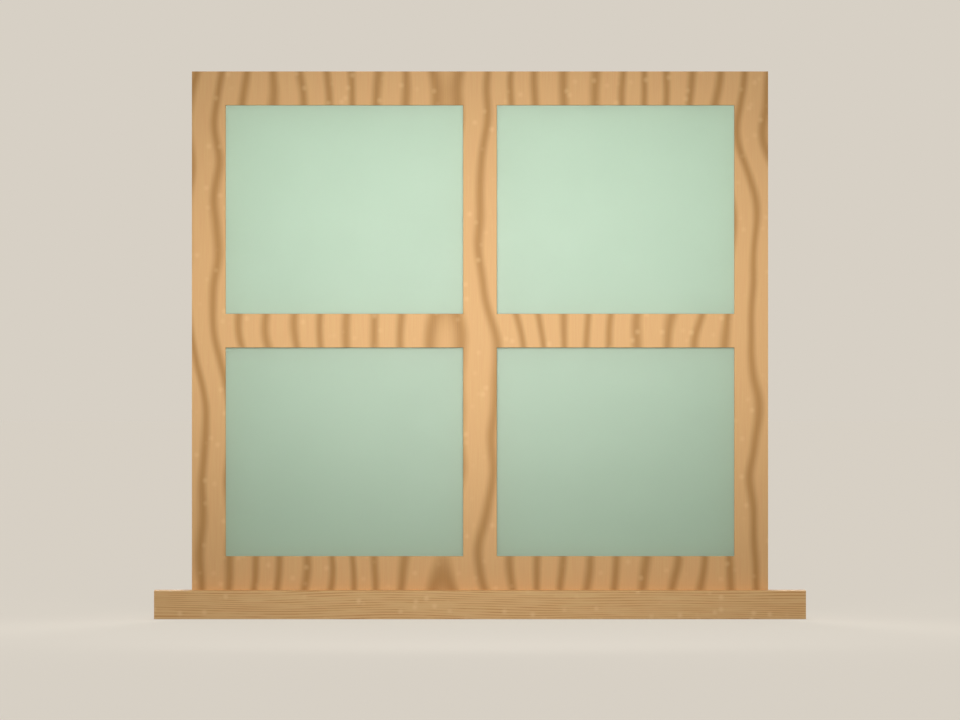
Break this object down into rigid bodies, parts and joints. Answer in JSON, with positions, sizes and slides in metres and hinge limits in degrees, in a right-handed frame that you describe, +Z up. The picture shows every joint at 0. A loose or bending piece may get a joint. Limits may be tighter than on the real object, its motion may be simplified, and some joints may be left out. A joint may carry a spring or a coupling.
{
  "type": "double casement window",
  "caption": "Timber double casement window: a flush cross-barred frame on a projecting sill, with paired inward-opening glazed sashes closed behind it.",
  "frame": {"origin": "on the underside of the sill, at the middle of the frame's width and depth", "axes": "+X to the right seen from outside, +Y from the outside to the room, +Z up"},
  "size_m": [1.13, 0.145, 0.95],
  "materials": {
    "frame_timber": "clear-finished softwood with brown grain bands",
    "sash_timber": "clear-finished softwood",
    "sill_timber": "clear-finished softwood, grain along its length",
    "pane_glass": "pale green obscured glass",
    "seal_rubber": "matte",
    "hinge_brass": "satin",
    "handle_brass": "satin"
  },
  "bodies": {
    "root": {"sill": "sill_timber", "head": "frame_timber", "bottom_rail": "frame_timber", "mullion": "frame_timber", "left_jamb": "frame_timber", "left_transom": "frame_timber", "left_sash_hinge_stile": "sash_timber", "left_sash_meeting_stile": "sash_timber", "left_sash_bottom_rail": "sash_timber", "left_sash_glazing_bar": "sash_timber", "left_sash_top_rail": "sash_timber", "left_weather_seal": "seal_rubber", "left_lower_pane": "pane_glass", "left_lower_beads": "sash_timber", "left_lower_hinge_frame_leaf": "hinge_brass", "left_lower_hinge_sash_leaf": "hinge_brass", "left_lower_hinge_pin": "hinge_brass", "left_upper_pane": "pane_glass", "left_upper_beads": "sash_timber", "left_upper_hinge_frame_leaf": "hinge_brass", "left_upper_hinge_sash_leaf": "hinge_brass", "left_upper_hinge_pin": "hinge_brass", "right_jamb": "frame_timber", "right_transom": "frame_timber", "right_sash_hinge_stile": "sash_timber", "right_sash_meeting_stile": "sash_timber", "right_sash_bottom_rail": "sash_timber", "right_sash_glazing_bar": "sash_timber", "right_sash_top_rail": "sash_timber", "right_weather_seal": "seal_rubber", "right_lower_pane": "pane_glass", "right_lower_beads": "sash_timber", "right_lower_hinge_frame_leaf": "hinge_brass", "right_lower_hinge_sash_leaf": "hinge_brass", "right_lower_hinge_pin": "hinge_brass", "right_upper_pane": "pane_glass", "right_upper_beads": "sash_timber", "right_upper_hinge_frame_leaf": "hinge_brass", "right_upper_hinge_sash_leaf": "hinge_brass", "right_upper_hinge_pin": "hinge_brass", "meeting_strip": "sash_timber", "handle_plate": "handle_brass", "handle_spindle": "handle_brass", "handle_grip": "handle_brass"}
  },
  "joints": []
}
